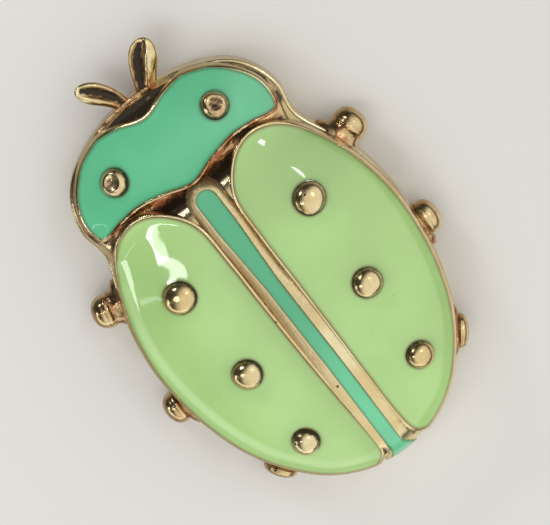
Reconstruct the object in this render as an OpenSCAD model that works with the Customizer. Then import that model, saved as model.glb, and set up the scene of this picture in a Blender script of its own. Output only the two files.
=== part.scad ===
// Beetle brooch: one hollow gilt casting with two wing cases, a centre strip and a head plate,
// each a shallow cell filled with enamel, and a pin bar across the hollow back.
// The head points along +Y, and the flat back rim lies on Z = 0.

/* [Body] */
// Length of the casting from the tail to the front of the head, without the antennae
body_l = 38; // [34:0.5:44]
// Width of the casting across the wing cases, without the feet
body_w = 25.8; // [23:0.2:29]
// Height of the crest above the back rim
body_h = 9.2; // [8.4:0.1:11]
// Height of the upright side wall, where the dome springs from it
side_h = 3.6; // [3.5:0.1:4]
// How full the dome is, where 2 is an ellipse and more is a squarer shoulder
fullness = 2.2; // [2:0.05:2.5]
// Depth of the soft crease along the middle of the back
crease_d = 0.35; // [0:0.05:0.6]
// Thickness of the side wall, and width of the flat rim under it
wall_t = 1.4; // [1.1:0.1:1.7]
// Thickness of the metal over the hollow
roof_t = 1.2; // [0.9:0.1:1.4]

/* [Cells] */
// Width of the gold rim around each enamel
rim_w = 0.3; // [0.22:0.02:0.4]
// Depth of each cell below its rim
cell_d = 0.65; // [0.45:0.05:0.8]
// How far the rims of the wing cases and the head plate stay inside the side wall
rim_inset = 0.08; // [0.04:0.02:0.2]
// Clearance between a piece and the metal that holds it
fit_gap = 0.04; // [0.03:0.01:0.06]
// Depth of the gold grooves beside the centre strip
groove_d = 0.6; // [0.4:0.05:0.7]
// Further depth of the valley between the head and the wing cases
valley_d = 2; // [1:0.1:2.4]
// Width of that valley where it is half as deep
valley_w = 2.4; // [1.6:0.1:3]
// How much lower the head plate lies than the dome of the wing cases
head_drop = 0.3; // [0:0.05:0.4]

/* [Centre strip] */
// Width of the centre strip over its gold rims, at the head end
strip_front_w = 2.4; // [2.2:0.1:2.6]
// Width of the centre strip over its gold rims, along the back
strip_w = 1.92; // [1.7:0.02:2.2]
// How far the centre strip stands above the dome
strip_lift = 0.15; // [0:0.05:0.3]
// Run of the sloping flank on each side of the centre strip
strip_flank = 0.5; // [0.3:0.05:0.6]

/* [Studs] */
// Diameter of the front pair of wing studs
stud_front_d = 2.85; // [2.4:0.05:3.4]
// Diameter of the middle pair of wing studs
stud_middle_d = 2.6; // [2.1:0.05:3]
// Diameter of the rear pair of wing studs
stud_rear_d = 2.4; // [1.9:0.05:2.8]
// Diameter of the eye studs
eye_d = 2.4; // [2:0.05:2.9]
// Height of the round top of a stud
stud_top_h = 0.85; // [0.6:0.05:1]
// Height of the upright side of a stud above the enamel
stud_side_h = 0.2; // [0.1:0.05:0.4]

/* [Feet and antennae] */
// Diameter of each foot's button
foot_d = 3.1; // [2.6:0.1:3.3]
// Diameter of each foot's neck
foot_neck_d = 2.5; // [2:0.1:2.6]
// Thickness of the button of a front or middle foot
foot_t = 1.6; // [1.2:0.1:1.8]
// Thickness of the button of a rear foot
foot_rear_t = 0.9; // [0.7:0.1:1]
// Reach of the front feet beyond the side wall
foot_front_reach = 2.7; // [2.2:0.1:3.2]
// Reach of the middle feet beyond the side wall
foot_middle_reach = 1.8; // [1.6:0.1:2.2]
// Reach of the rear feet beyond the side wall
foot_rear_reach = 1.2; // [1.1:0.1:1.4]
// Reach of the antennae beyond the front of the head
antenna_reach = 3.6; // [3:0.1:4.4]
// Spread between the middles of the antenna tips
antenna_spread = 6.4; // [5.4:0.2:7]
// Width of an antenna at its rounded tip
antenna_tip_w = 2.3; // [1.8:0.1:2.5]
// Width of an antenna at its neck
antenna_neck_w = 1.7; // [1.2:0.1:1.9]

/* [Pin] */
// Length of the pin bar across the hollow
bar_l = 17; // [15:0.5:18]
// Width of the pin bar
bar_w = 3; // [2.6:0.1:3.6]
// Thickness of the pin bar
bar_t = 0.8; // [0.6:0.1:1]
// Height of the underside of the pin bar above the back rim
bar_z = 3.9; // [3.6:0.1:4]
// Width of the two cast posts that carry the pin bar
post_w = 2.2; // [1.8:0.1:2.6]
// Diameter of the pin stem
stem_d = 0.8; // [0.7:0.05:1]
// Height of the middle of the pin stem above the back rim
stem_z = 1.4; // [1.2:0.1:1.6]
// Diameter of the hinge barrel and of the catch
barrel_d = 2; // [1.8:0.1:2.2]

/* [Hidden] */

gold = "#d6ab5e";
steel = "#c9b27a";
apple_green = "#b4d98e";
sea_green = "#63b888";

half_w = body_w / 2;
rise = body_h - side_h;
// The box round the body and the antennae is centred on Y = 0
tail_y = -(body_l + antenna_reach) / 2;
front_y = tail_y + body_l;
wall_mid_y = (tail_y + front_y) / 2;

// Steps round an outline, round the head plate, across them, along the centre strip,
// round its end, round a stud or a foot, and round a link of an antenna
outline_steps = 64;
head_steps = 76;
across_steps = 8;
strip_steps = 18;
strip_end_steps = 5;
round_steps = 16;
link_steps = 12;

// Half width of the side wall every 10 degrees round from the tail to the front,
// as a share of half the body's width
wall_shares = [
    0, 0.221, 0.388, 0.552, 0.686, 0.808, 0.899, 0.961, 0.996, 1,
    0.961, 0.875, 0.785, 0.81, 0.762, 0.65, 0.46, 0.228, 0
];
wall_turn = 180 / (len(wall_shares) - 1);

// A wing case's rim every 20 degrees round from its tail end to its front end,
// as shares of half the body's width
wing_shares = [
    // outer edge, inner edge
    [0.225, 0.225],
    [0.398, 0.115],
    [0.634, 0.096],
    [0.838, 0.103],
    [0.958, 0.112],
    [0.996, 0.117],
    [0.942, 0.119],
    [0.82, 0.142],
    [0.665, 0.29],
    [0.475, 0.475]
];
wing_turn = 180 / (len(wing_shares) - 1);
// Ends of a wing case's rim, as shares of the body's length from the tail
wing_tail_share = 0.009;
wing_front_share = 0.793;

// The head plate's rim every 15 degrees round from its middle to its end,
// as shares of the body's length from the tail
head_shares = [
    // rear edge, front edge
    [0.774, 0.956],
    [0.792, 0.975],
    [0.803, 0.979],
    [0.798, 0.955],
    [0.788, 0.917],
    [0.793, 0.876],
    [0.835, 0.835]
];
head_turn = 90 / (len(head_shares) - 1);
// Half width of the head plate's rim, as a share of half the body's width
head_half_share = 0.756;

// Ends of the centre strip, and where it widens towards the head, as shares of the length
strip_tail_share = 0.002;
strip_front_share = 0.764;
strip_widen_shares = [0.5, 0.66];
// The last row of its round end, in degrees from its widest row
strip_end_turn = 84;

// Wing studs: across as a share of half the width, along as a share of the length
stud_places = [
    // across, along, diameter
    [0.526, 0.598, stud_front_d],
    [0.488, 0.374, stud_middle_d],
    [0.466, 0.171, stud_rear_d]
];
eye_place = [0.407, 0.88, eye_d];

// Feet: place along the length, turn towards the head, reach beyond the side wall, and thickness
foot_places = [
    // along, turn, reach, thickness of the button
    [0.643, 13, foot_front_reach, foot_t],
    [0.382, 0, foot_middle_reach, foot_t],
    [0.134, -36, foot_rear_reach, foot_rear_t]
];
// The necks of the feet stay just under the top of the side wall
foot_z = side_h - groove_d - foot_neck_d / 2 - fit_gap;

// The crest, the end of the crease and its fade, the valley and the pin, as shares of the length
crest_share = 0.385;
crease_end_share = 0.76;
crease_fade_share = 0.16;
valley_share = 0.786;
pin_share = 0.56;
// Width of the crease, as a share of half the body's width
crease_width_share = 0.22;

crest_y = along(crest_share);
pin_y = along(pin_share);

function along(share) = tail_y + share * body_l;

// Value at t, in steps, of a smooth closed curve through the values of a list
function cyclic(v, t) =
    let (
        n = len(v),
        i = floor(t),
        f = t - i,
        a = v[(i - 1 + n) % n],
        b = v[i % n],
        c = v[(i + 1) % n],
        d = v[(i + 2) % n],
        bend = (2 * a - 5 * b + 4 * c - d) * f * f + (3 * b - a - 3 * c + d) * f * f * f
    )
    b + ((c - a) * f + bend) / 2;

// The first column of a table going out, then the second column coming back
function round_trip(rows) = concat(
    [for (row = rows) row[0]],
    [for (i = [len(rows) - 2 : -1 : 1]) rows[i][1]]
);

// Angles round a closed outline, none of them at its two ends
function turns(steps) = [for (i = [0 : steps - 1]) (i + 0.5) * 360 / steps];

// A closed outline moved out by a distance, or in by a negative one
function grown(loop, distance) =
    let (n = len(loop))
    [
        for (i = [0 : n - 1])
            let (edge = loop[(i + 1) % n] - loop[(i - 1 + n) % n])
            loop[i] + distance * [edge.y, -edge.x] / norm(edge)
    ];

wall_round = round_trip([for (share = wall_shares) [share, -share]]);

// Point of the side wall's outline at an angle round from the tail
function wall_point(a) = [
    half_w * cyclic(wall_round, a / wall_turn),
    wall_mid_y - body_l / 2 * cos(a)
];

wall_loop = [for (a = turns(outline_steps)) wall_point(a)];
// Half width of the side wall at each place along the body
wall_table = [
    for (i = [0 : outline_steps])
        let (p = wall_point(180 * i / outline_steps))
        [p.y, p.x]
];

// How far out a rim may come at each place along the body
limit_table = [
    for (p = grown(wall_loop, -rim_inset))
        if (p.x > 0) [p.y, p.x]
];

// A point drawn in, where it needs it, to lie inside the side wall
function inside_wall(p) = [sign(p.x) * min(abs(p.x), lookup(p.y, limit_table)), p.y];

wing_round = round_trip(wing_shares);
wing_mid_share = (wing_front_share + wing_tail_share) / 2;
wing_half_share = (wing_front_share - wing_tail_share) / 2;
wing_loop = [
    for (a = turns(outline_steps))
        let (y = along(wing_mid_share - wing_half_share * cos(a)))
        inside_wall([half_w * cyclic(wing_round, a / wing_turn), y])
];

head_last = len(head_shares) - 1;
head_round = round_trip([for (i = [-head_last : head_last]) head_shares[abs(i)]]);
head_loop = [
    for (a = turns(head_steps))
        inside_wall([-half_w * head_half_share * cos(a), along(cyclic(head_round, a / head_turn))])
];

// Half width of the centre strip over its rims
function strip_half(y) =
    let (
        share = (y - tail_y) / body_l,
        part = (share - strip_widen_shares[0]) / (strip_widen_shares[1] - strip_widen_shares[0]),
        widening = min(1, max(0, part))
    )
    (strip_w + (strip_front_w - strip_w) * widening) / 2;

// Sections across the centre strip, moved in by a distance, or out by a negative one
function strip_sections(inset) =
    let (
        y0 = along(strip_tail_share) + max(0, inset),
        end_r = strip_front_w / 2 - inset,
        y1 = along(strip_front_share) - inset - end_r,
        straight = [
            for (i = [0 : strip_steps])
                let (y = y0 + (y1 - y0) * i / strip_steps)
                [strip_half(y) - inset, y]
        ],
        end = [
            for (i = [1 : strip_end_steps])
                let (a = strip_end_turn * i / strip_end_steps)
                [end_r * cos(a), y1 + end_r * sin(a)]
        ]
    )
    [for (p = concat(straight, end)) [for (side = [1, 0, -1]) [p.x * side, p.y]]];

// A superellipse, from 1 in the middle to 0 at the edge
function shoulder(share) = pow(max(0, 1 - pow(min(1, abs(share)), fullness)), 1 / fullness);

// The smooth back of the beetle, which the rims and the enamel follow
function dome(p) =
    let (
        half_l = p.y < crest_y ? crest_y - tail_y : front_y - crest_y,
        half = max(lookup(p.y, wall_table), fit_gap),
        lift = shoulder((p.y - crest_y) / half_l) * shoulder(p.x / half),
        fade = min(1, max(0, (along(crease_end_share) - p.y) / (crease_fade_share * body_l))),
        crease = fade * exp(-pow(p.x / (crease_width_share * half_w), 2))
    )
    side_h + lift * (rise - crease_d * crease);

// The gold between the cells, which dips between the head and the wing cases
function deck(p) =
    let (
        across = (p.y - along(valley_share)) / (valley_w / 2),
        dip = valley_d * pow(2, -across * across)
    )
    dome(p) - groove_d - dip * (dome(p) - side_h) / rise;

// Slope of the dome across and along, at a place
function dome_normal(p) =
    let (
        e = 0.2,
        slope_x = (dome(p + [e, 0]) - dome(p - [e, 0])) / (2 * e),
        slope_y = (dome(p + [0, e]) - dome(p - [0, e])) / (2 * e)
    )
    [-slope_x, -slope_y, 1] / norm([slope_x, slope_y, 1]);

// Shares across a section: even, closer at both edges, or closer at the first edge
even = [for (i = [0 : across_steps]) i / across_steps];
both_edges = [for (i = [0 : across_steps]) (1 - cos(180 * i / across_steps)) / 2];
first_edge = [for (i = [0 : across_steps]) 1 - cos(90 * i / across_steps)];

// Sections across a closed outline, from one side to the other
function sections(loop, shares) =
    let (n = len(loop))
    [
        for (i = [0 : n / 2 - 1])
            [for (share = shares) loop[i] * (1 - share) + loop[n - 1 - i] * share]
    ];

// A solid between two surfaces, over as many sections above as below
module plate(top_rows, top, bottom_rows, bottom) {
    n = len(top_rows);
    m = len(top_rows[0]);
    low = n * m;
    last = (n - 1) * m;
    grid = [for (i = [0 : n - 2], j = [0 : m - 2]) i * m + j];
    ends = [for (j = [0 : m - 2]) j];
    sides = [for (i = [0 : n - 2]) i * m];
    polyhedron(
        concat(
            [for (row = top_rows, p = row) [p.x, p.y, top(p)]],
            [for (row = bottom_rows, p = row) [p.x, p.y, bottom(p)]]
        ),
        concat(
            [for (k = sides) [low + k + m, low + k, k, k + m]],
            [for (k = sides) [low + k + m - 1, low + k + 2 * m - 1, k + 2 * m - 1, k + m - 1]],
            [for (k = ends) [low + k, low + k + 1, k + 1, k]],
            [for (k = ends) [low + last + k + 1, low + last + k, last + k, last + k + 1]],
            [for (k = grid) [k, k + 1, k + m]],
            [for (k = grid) [k + 1, k + m + 1, k + m]],
            [for (k = grid) [low + k, low + k + m, low + k + 1]],
            [for (k = grid) [low + k + 1, low + k + m, low + k + m + 1]]
        ),
        convexity = 6
    );
}

module straight_plate(rows, top, bottom) {
    plate(rows, top, rows, bottom);
}

module both_sides() {
    children();
    mirror([1, 0, 0]) children();
}

// Children stand on the dome at a place, square to it
module on_dome(across, along_share, lower = 0) {
    p = [across * half_w, along(along_share)];
    n = dome_normal(p);
    translate([p.x, p.y, dome(p) - lower])
        rotate([0, acos(n.z), atan2(n.y, n.x)])
            children();
}

module raised_case(rows, drop) {
    straight_plate(rows, function(p) dome(p) - drop, function(p) side_h / 2);
}

module cell(rows, drop) {
    straight_plate(rows, function(p) body_h + cell_d, function(p) dome(p) - drop - cell_d);
}

module enamel(rows, drop) {
    straight_plate(rows, function(p) dome(p) - drop, function(p) dome(p) - drop - cell_d + fit_gap);
}

module strip_case() {
    plate(
        strip_sections(0), function(p) dome(p) + strip_lift,
        strip_sections(-strip_flank), function(p) deck(p) - roof_t / 2
    );
}

module hollow() {
    straight_plate(
        sections(grown(wall_loop, -wall_t), both_edges),
        function(p) deck(p) - roof_t,
        function(p) -wall_t
    );
}

module stud(d) {
    top_r = (pow(d / 2, 2) + pow(stud_top_h, 2)) / (2 * stud_top_h);
    root = cell_d + roof_t / 3;
    translate([0, 0, -root])
        cylinder(d = d, h = root + stud_side_h, $fn = round_steps);
    intersection() {
        translate([0, 0, stud_side_h + stud_top_h - top_r])
            sphere(top_r, $fn = round_steps);
        translate([0, 0, stud_side_h / 2])
            cylinder(d = d, h = body_h, $fn = round_steps);
    }
}

// A straight hole with as many flat sides as the stud that fills it
module stud_hole(d) {
    translate([0, 0, -2 * cell_d])
        linear_extrude(height = 4 * cell_d)
            polygon([
                for (i = [0 : round_steps - 1])
                    let (a = 360 * i / round_steps)
                    (d / 2 + fit_gap) * [cos(a), sin(a)]
            ]);
}

// A round button with a parting ridge, on a short neck out of the side wall
module foot(reach, thickness) {
    hull() {
        translate([0, 0, -wall_t / 2])
            cylinder(d = foot_neck_d, h = wall_t / 2, $fn = round_steps);
        translate([0, 0, reach - thickness / 2])
            cylinder(d = foot_neck_d, h = thickness / 4, $fn = round_steps);
    }
    hull() {
        translate([0, 0, reach - thickness])
            cylinder(d1 = foot_d * 0.86, d2 = foot_d, h = thickness * 0.4, $fn = round_steps);
        translate([0, 0, reach - thickness / 2])
            cylinder(d1 = foot_d, d2 = foot_d * 0.82, h = thickness * 0.35, $fn = round_steps);
        translate([0, 0, reach - thickness / 8])
            cylinder(d = foot_d * 0.5, h = thickness / 8, $fn = round_steps);
    }
}

module foot_in_place(place) {
    y = along(place[0]);
    translate([lookup(y, wall_table), y, foot_z])
        rotate([0, 0, place[1]])
            rotate([0, 90, 0])
                foot(place[2], place[3]);
}

// A flattened ball, one link in the antenna's run
module antenna_link(x, y, z, w) {
    translate([x, y, z])
        scale([1, 1, 0.7])
            sphere(d = w, $fn = link_steps);
}

module antenna() {
    tip_y = front_y + antenna_reach - antenna_tip_w / 2;
    neck_x = antenna_spread * 0.3;
    hull() {
        antenna_link(antenna_spread * 0.2, front_y - wall_t / 2, side_h * 0.7, antenna_neck_w * 1.3);
        antenna_link(neck_x, front_y + antenna_reach * 0.2, side_h * 0.85, antenna_neck_w);
    }
    hull() {
        antenna_link(neck_x, front_y + antenna_reach * 0.2, side_h * 0.85, antenna_neck_w);
        antenna_link(antenna_spread / 2, tip_y, side_h * 1.1, antenna_tip_w);
    }
}

module bar_post() {
    bar_top = bar_z + bar_t + fit_gap;
    x = bar_l / 2 - post_w / 2 - bar_t;
    translate([x - post_w / 2, pin_y - post_w / 2, bar_top])
        cube([post_w, post_w, deck([x, pin_y]) - roof_t * 0.7 - bar_top]);
}

module casting() {
    color(gold) {
        difference() {
            union() {
                straight_plate(
                    sections(wall_loop, both_edges),
                    function(p) deck(p),
                    function(p) 0
                );
                both_sides() raised_case(sections(wing_loop, first_edge), 0);
                raised_case(sections(head_loop, even), head_drop);
                strip_case();
            }
            hollow();
            both_sides() cell(sections(grown(wing_loop, -rim_w), first_edge), 0);
            cell(sections(grown(head_loop, -rim_w), even), head_drop);
            cell(strip_sections(rim_w), -strip_lift);
        }
        both_sides() {
            for (place = stud_places) on_dome(place[0], place[1]) stud(place[2]);
            on_dome(eye_place[0], eye_place[1], head_drop) stud(eye_place[2]);
            for (place = foot_places) foot_in_place(place);
            antenna();
            bar_post();
        }
    }
}

module head_enamel() {
    color(sea_green)
        difference() {
            enamel(sections(grown(head_loop, -rim_w - fit_gap), even), head_drop);
            both_sides() on_dome(eye_place[0], eye_place[1], head_drop) stud_hole(eye_place[2]);
        }
}

module right_wing_enamel() {
    color(apple_green)
        difference() {
            enamel(sections(grown(wing_loop, -rim_w - fit_gap), first_edge), 0);
            for (place = stud_places) on_dome(place[0], place[1]) stud_hole(place[2]);
        }
}

module left_wing_enamel() {
    mirror([1, 0, 0]) right_wing_enamel();
}

module centre_strip_enamel() {
    color(sea_green) enamel(strip_sections(rim_w + fit_gap), -strip_lift);
}

module pin_back() {
    end_x = bar_l / 2 - barrel_d / 2;
    color(steel) {
        translate([-bar_l / 2, pin_y - bar_w / 2, bar_z])
            cube([bar_l, bar_w, bar_t]);
        for (x = [-end_x, end_x]) {
            translate([x - barrel_d * 0.4, pin_y - bar_w / 3, stem_z])
                cube([barrel_d * 0.8, bar_w * 2 / 3, bar_z - stem_z + bar_t / 2]);
            translate([x, pin_y, stem_z])
                rotate([90, 0, 0])
                    cylinder(d = barrel_d, h = bar_w * 0.8, center = true, $fn = 48);
        }
        translate([-end_x, pin_y, stem_z])
            rotate([0, 90, 0])
                cylinder(d = stem_d, h = 2 * end_x, $fn = 32);
    }
}

casting();
head_enamel();
left_wing_enamel();
right_wing_enamel();
centre_strip_enamel();
pin_back();
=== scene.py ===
import math

import bpy
import numpy as np
from mathutils import Matrix, Vector
from mathutils.geometry import delaunay_2d_cdt


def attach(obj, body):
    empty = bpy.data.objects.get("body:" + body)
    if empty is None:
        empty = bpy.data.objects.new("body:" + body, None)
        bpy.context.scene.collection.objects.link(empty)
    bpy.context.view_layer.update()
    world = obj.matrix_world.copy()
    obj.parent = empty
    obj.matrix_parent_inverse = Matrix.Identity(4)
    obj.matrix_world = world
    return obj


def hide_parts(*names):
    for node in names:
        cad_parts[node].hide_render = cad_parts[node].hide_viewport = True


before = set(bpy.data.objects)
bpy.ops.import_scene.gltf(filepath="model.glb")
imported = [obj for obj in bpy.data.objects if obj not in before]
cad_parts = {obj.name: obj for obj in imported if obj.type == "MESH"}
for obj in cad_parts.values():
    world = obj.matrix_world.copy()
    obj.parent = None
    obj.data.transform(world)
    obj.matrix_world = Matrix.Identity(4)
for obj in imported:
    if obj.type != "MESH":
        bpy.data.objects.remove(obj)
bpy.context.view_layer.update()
print("frame loaded:", sorted(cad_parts))

# Lengths below are in millimetres and become metres where a mesh is made
millimetre = 0.001

# The beetle's back

# The same shares as the solid model, so each piece lies on its own solid
beetle = {
    "length": 38.0, "width": 25.8, "height": 9.2,
    "sideHeight": 3.6, "fullness": 2.2,
    "creaseDepth": 0.35, "creaseWidth": 0.22, "creaseEnd": 0.76, "creaseFade": 0.16,
    "crest": 0.385,
    "grooveDepth": 0.6,
    "valleyAt": 0.786, "valleyDepth": 2.0, "valleyWidth": 2.4,
    "headDrop": 0.3,
    "wallThickness": 1.4, "roofThickness": 1.2,
    "antennaReach": 3.6,
    "rimInset": 0.08, "rimWidth": 0.3,
    # half width, evenly round from the tail to the front
    "wallShares": [
        0, 0.221, 0.388, 0.552, 0.686, 0.808, 0.899, 0.961, 0.996, 1,
        0.961, 0.875, 0.785, 0.81, 0.762, 0.65, 0.46, 0.228, 0,
    ],
    # outer and inner edge of a wing case, evenly round from its tail end
    "wingShares": [
        (0.225, 0.225), (0.398, 0.115), (0.634, 0.096), (0.838, 0.103), (0.958, 0.112),
        (0.996, 0.117), (0.942, 0.119), (0.82, 0.142), (0.665, 0.29), (0.475, 0.475),
    ],
    "wingEnds": (0.009, 0.793),
    # rear and front edge of the head, evenly round from its middle
    "headShares": [
        (0.774, 0.956), (0.792, 0.975), (0.803, 0.979), (0.798, 0.955),
        (0.788, 0.917), (0.793, 0.876), (0.835, 0.835),
    ],
    "headHalf": 0.756,
}

# How finely outlines and slopes are worked out
fineness = {"wallSteps": 720, "narrowest": 0.04, "softenings": 6, "slopeStep": 0.2}

halfWidth = beetle["width"] / 2
tailY = -(beetle["length"] + beetle["antennaReach"]) / 2
frontY = tailY + beetle["length"]
middleY = (tailY + frontY) / 2
domeRise = beetle["height"] - beetle["sideHeight"]
wallTop = beetle["sideHeight"] - beetle["grooveDepth"]


def along(share):
    return tailY + share * beetle["length"]


def shareAt(y):
    return (y - tailY) / beetle["length"]


def smoothStep(values, low, high):
    t = np.clip((values - low) / (high - low), 0, 1)
    return t * t * (3 - 2 * t)


def hill(values, width, power=2):
    # 1 at nothing and falling off on both sides, with a flatter top for a higher power
    return np.exp(-((values / width) ** power))


def smoothCurve(values, angles):
    # closed curve through values that stand evenly round a circle, at angles in degrees
    values = np.asarray(values, float)
    count = len(values)
    t = angles / (360 / count)
    i = np.floor(t).astype(int)
    f = t - i
    a, b = values[(i - 1) % count], values[i % count]
    c, d = values[(i + 1) % count], values[(i + 2) % count]
    bend = (2 * a - 5 * b + 4 * c - d) * f * f + (3 * b - a - 3 * c + d) * f**3
    return b + ((c - a) * f + bend) / 2


def turnsRound(steps):
    return (np.arange(steps) + 0.5) * 360 / steps


def fullTurn(steps):
    return np.arange(steps) * 2 * math.pi / steps


def quarterTurn(steps):
    return np.radians(np.linspace(0, 90, steps))


def grown(loop, distance):
    # a closed outline moved out by a distance, or in by a negative one
    edge = np.roll(loop, -1, 0) - np.roll(loop, 1, 0)
    edge /= np.linalg.norm(edge, axis=1)[:, None]
    return loop + distance * np.stack([edge[:, 1], -edge[:, 0]], 1)


def wallPoints(angles):
    shares = beetle["wallShares"]
    x = halfWidth * smoothCurve(shares + [-s for s in shares[-2:0:-1]], angles)
    y = middleY - beetle["length"] / 2 * np.cos(np.radians(angles))
    return np.stack([x, y], 1)


wallTable = wallPoints(np.linspace(0, 180, fineness["wallSteps"] + 1))


def wallHalf(y):
    return np.maximum(np.interp(y, wallTable[:, 1], wallTable[:, 0]), fineness["narrowest"])


limitLoop = grown(wallPoints(turnsRound(2 * fineness["wallSteps"])), -beetle["rimInset"])
limitLoop = limitLoop[:fineness["wallSteps"]]


def insideWall(loop):
    limit = np.interp(loop[:, 1], limitLoop[:, 1], limitLoop[:, 0])
    return np.stack([np.sign(loop[:, 0]) * np.minimum(np.abs(loop[:, 0]), limit), loop[:, 1]], 1)


def evened(loop):
    # both halves respaced evenly, then softened where the outline meets the wall
    half = len(loop) // 2
    halves = []
    for part in (loop[:half], loop[half:]):
        length = np.concatenate([[0], np.cumsum(np.linalg.norm(np.diff(part, axis=0), axis=1))])
        at = np.linspace(0, length[-1], half)
        halves.append(np.stack([np.interp(at, length, part[:, k]) for k in (0, 1)], 1))
    loop = np.concatenate(halves)
    for softening in range(fineness["softenings"]):
        loop = (np.roll(loop, 1, 0) + 2 * loop + np.roll(loop, -1, 0)) / 4
    return loop


def wingOutline(steps):
    outer, inner = zip(*beetle["wingShares"])
    low, high = beetle["wingEnds"]
    angles = turnsRound(steps)
    x = halfWidth * smoothCurve(outer + inner[-2:0:-1], angles)
    y = along((high + low) / 2 - (high - low) / 2 * np.cos(np.radians(angles)))
    return evened(insideWall(np.stack([x, y], 1)))


def headOutline(steps):
    rear, front = zip(*beetle["headShares"])
    angles = turnsRound(steps)
    x = -halfWidth * beetle["headHalf"] * np.cos(np.radians(angles))
    y = along(smoothCurve(rear[:0:-1] + rear + front[-2:0:-1] + front[:-1], angles))
    return insideWall(np.stack([x, y], 1))


def shoulder(share):
    power = beetle["fullness"]
    return np.maximum(0, 1 - np.minimum(1, np.abs(share)) ** power) ** (1 / power)


def dome(x, y):
    crestY = along(beetle["crest"])
    halfLength = np.where(y < crestY, crestY - tailY, frontY - crestY)
    lift = shoulder((y - crestY) / halfLength) * shoulder(x / wallHalf(y))
    fade = np.clip((along(beetle["creaseEnd"]) - y) / (beetle["creaseFade"] * beetle["length"]), 0, 1)
    crease = fade * hill(x, beetle["creaseWidth"] * halfWidth)
    return beetle["sideHeight"] + lift * (domeRise - beetle["creaseDepth"] * crease)


def headTop(x, y):
    return dome(x, y) - beetle["headDrop"]


def deck(x, y):
    # the gold between the cells
    across = (y - along(beetle["valleyAt"])) / (beetle["valleyWidth"] / 2)
    dip = beetle["valleyDepth"] * 2.0 ** (-across * across)
    top = dome(x, y)
    return top - beetle["grooveDepth"] - dip * (top - beetle["sideHeight"]) / domeRise


def domeNormal(x, y):
    step = fineness["slopeStep"]
    slopeX = (dome(x + step, y) - dome(x - step, y)) / (2 * step)
    slopeY = (dome(x, y + step) - dome(x, y - step)) / (2 * step)
    return Vector((-float(slopeX), -float(slopeY), 1)).normalized()


# Meshes


def makePiece(name, points, faces, material, fields=None):
    points = [tuple(point) for point in np.asarray(points) * millimetre]
    faces = [tuple(map(int, face)) for face in faces]
    mesh = bpy.data.meshes.new(name)
    mesh.from_pydata(points, [], faces)
    for label, values in (fields or {}).items():
        layer = mesh.attributes.new(label, "FLOAT", "POINT")
        layer.data.foreach_set("value", np.asarray(values, np.float32))
    mesh.validate()
    mesh.shade_smooth()
    piece = bpy.data.objects.new(name, mesh)
    bpy.context.scene.collection.objects.link(piece)
    mesh.materials.append(material)
    return piece


class Sheets:
    # gathers points, faces and one value a point, for one piece
    def __init__(self):
        self.points = []
        self.faces = []
        self.recess = []

    def rings(self, rings, recess=0.0, closed=True, capFirst=False, capLast=False):
        # faces between rings of points, outward for rings that turn anticlockwise going up
        rings = np.asarray(rings, float)
        count, size = rings.shape[:2]
        start = len(self.points)
        for i in range(count - 1):
            a, b = start + i * size, start + (i + 1) * size
            for k in range(size if closed else size - 1):
                m = (k + 1) % size
                self.faces.append([a + k, a + m, b + m, b + k])
        if capFirst:
            self.faces.append([start + k for k in range(size)][::-1])
        if capLast:
            self.faces.append([start + (count - 1) * size + k for k in range(size)])
        self.points.extend(rings.reshape(-1, 3).tolist())
        self.recess.extend(np.broadcast_to(recess, (count, size)).reshape(-1).tolist())


def laid(flat, surface, lift=0.0):
    # flat points raised to a surface, or above it
    return np.column_stack([flat, surface(flat[:, 0], flat[:, 1]) + lift])


def filledOutline(loop, shares, surface, pull):
    # rings from the outline in to a spine along its middle, which stops short of both ends
    half = len(loop) // 2
    middle = (loop[:half] + loop[::-1][:half]) / 2
    at = half * pull + np.arange(half) * (1 - 2 * pull)
    spine = np.stack([np.interp(at, np.arange(half), middle[:, k]) for k in (0, 1)], 1)
    spine = np.concatenate([spine, spine[::-1]])
    return np.array([laid(loop * (1 - share) + spine * share, surface) for share in shares])


def pointsToOutline(points, loop):
    # distance from each point to the nearest piece of a closed outline
    best = np.full(len(points), np.inf)
    run = np.roll(loop, -1, 0) - loop
    for start, step, size in zip(loop, run, (run**2).sum(1)):
        t = np.clip(((points - start) @ step) / size, 0, 1)
        gap = points - start - t[:, None] * step
        best = np.minimum(best, (gap**2).sum(1))
    return np.sqrt(best)


print("outlines ready")

# Shader writing


def arithmetic(operation, turned=False):
    def result(self, other):
        values = (other, self) if turned else (self, other)
        return self.graph.node("ShaderNodeMath", {"operation": operation}, values)["Value"]

    return result


class Socket:
    # a node's output in an expression
    def __init__(self, graph, source):
        self.graph = graph
        self.source = source

    __add__ = __radd__ = arithmetic("ADD")
    __sub__ = arithmetic("SUBTRACT")
    __rsub__ = arithmetic("SUBTRACT", turned=True)
    __mul__ = __rmul__ = arithmetic("MULTIPLY")

    def clamped(self):
        return self.graph.node("ShaderNodeClamp", {}, {"Value": self})["Result"]

    def between(self, low, high):
        # 0 at low, 1 at high, smooth in between
        settings = {"interpolation_type": "SMOOTHSTEP"}
        sockets = {"Value": self, "From Min": low, "From Max": high}
        return self.graph.node("ShaderNodeMapRange", settings, sockets)["Result"]


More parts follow.
